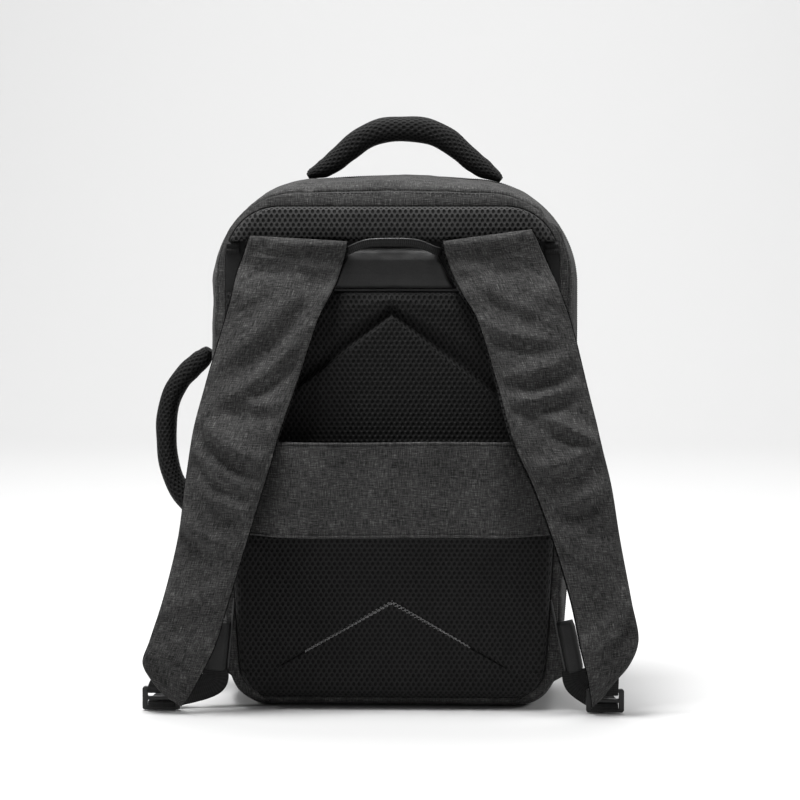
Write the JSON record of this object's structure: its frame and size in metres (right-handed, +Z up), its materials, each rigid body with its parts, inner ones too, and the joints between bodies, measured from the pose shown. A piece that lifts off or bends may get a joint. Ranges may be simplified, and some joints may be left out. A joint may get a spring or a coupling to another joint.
{
  "type": "travel backpack",
  "caption": "Upright convertible travel backpack with padded straps hanging out, trolley sleeve, top and side carry handles and air-mesh back.",
  "frame": {"origin": "middle of the flat base, on the surface that the bag stands on", "axes": "+Z up, -Y out of the strap side, +X to the right as seen from the strap side"},
  "size_m": [0.418, 0.2092, 0.5042],
  "materials": {
    "heather_fabric": "matte charcoal heather weave",
    "air_mesh": "matte black three-dimensional air mesh with upright oval holes",
    "lining": "smooth black lining",
    "smooth_panel": "smooth coated black fabric with a soft sheen",
    "webbing": "ribbed black polyester webbing",
    "zip_tape": "black zip tape with nylon coil",
    "zip_metal": "black painted zip slider",
    "black_plastic": "satin moulded black plastic"
  },
  "bodies": {
    "root": {"body_shell": "heather_fabric", "back_wall": "lining", "back_pad": "air_mesh", "top_mesh_band": "air_mesh", "pocket_piping": "lining", "pocket_panel": "smooth_panel", "hang_loop": "webbing", "trolley_sleeve": "heather_fabric", "top_handle": "air_mesh", "side_handle": "air_mesh", "strap_left": "heather_fabric", "strap_right": "heather_fabric", "pocket_zip_left": "zip_tape", "pocket_zip_right": "zip_tape", "strap_wing_left": "heather_fabric", "strap_wing_right": "heather_fabric", "strap_tab_left": "smooth_panel", "strap_tab_right": "smooth_panel", "webbing_left": "webbing", "webbing_right": "webbing", "ladder_lock_left": "black_plastic", "ladder_lock_right": "black_plastic", "strap_end_left": "webbing", "strap_end_right": "webbing", "main_zip": "zip_tape", "main_zip_slider": "zip_metal"}
  },
  "joints": []
}
